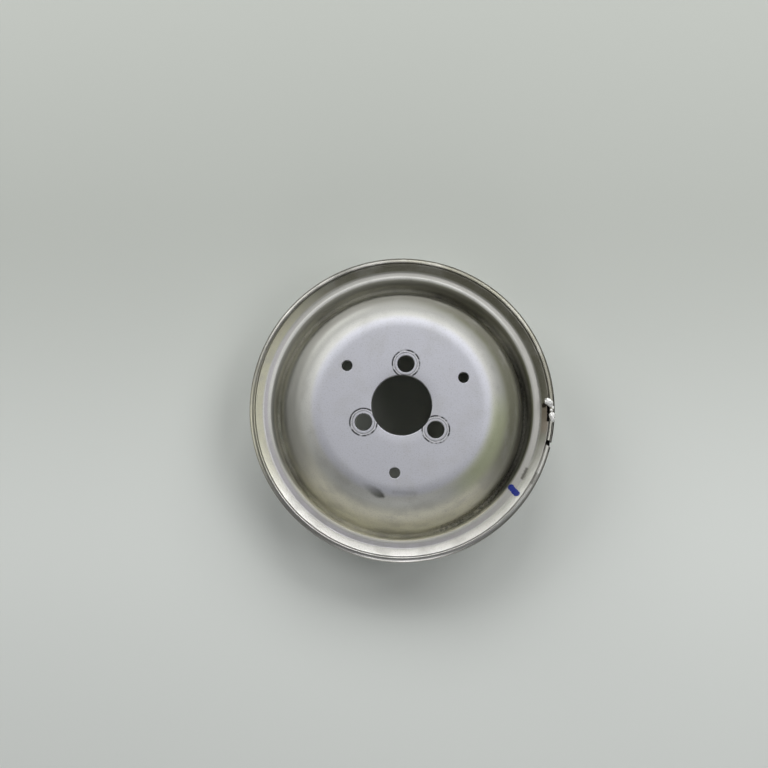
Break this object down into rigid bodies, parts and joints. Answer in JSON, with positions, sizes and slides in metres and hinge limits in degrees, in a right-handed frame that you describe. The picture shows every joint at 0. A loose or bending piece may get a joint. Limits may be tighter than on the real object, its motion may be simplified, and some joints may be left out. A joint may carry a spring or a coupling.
{
  "type": "water pump pulley",
  "caption": "Domed sheet-metal pulley that bolts to a pump flange: flat hub with a pilot bore, deep dome, grooved belt track between flanges, damaged front lip.",
  "frame": {"origin": "centre of the pilot bore at the hub's rear face, where the hub seats on the pump flange", "axes": "+Z along the pulley's axis towards its front; +X to the right and +Y to the top of the front view"},
  "size_m": [0.1542, 0.1542, 0.0437],
  "materials": {
    "coated_steel": "fine-blasted satin silver coat"
  },
  "bodies": {
    "root": {"pump_pulley": "coated_steel"}
  },
  "joints": []
}
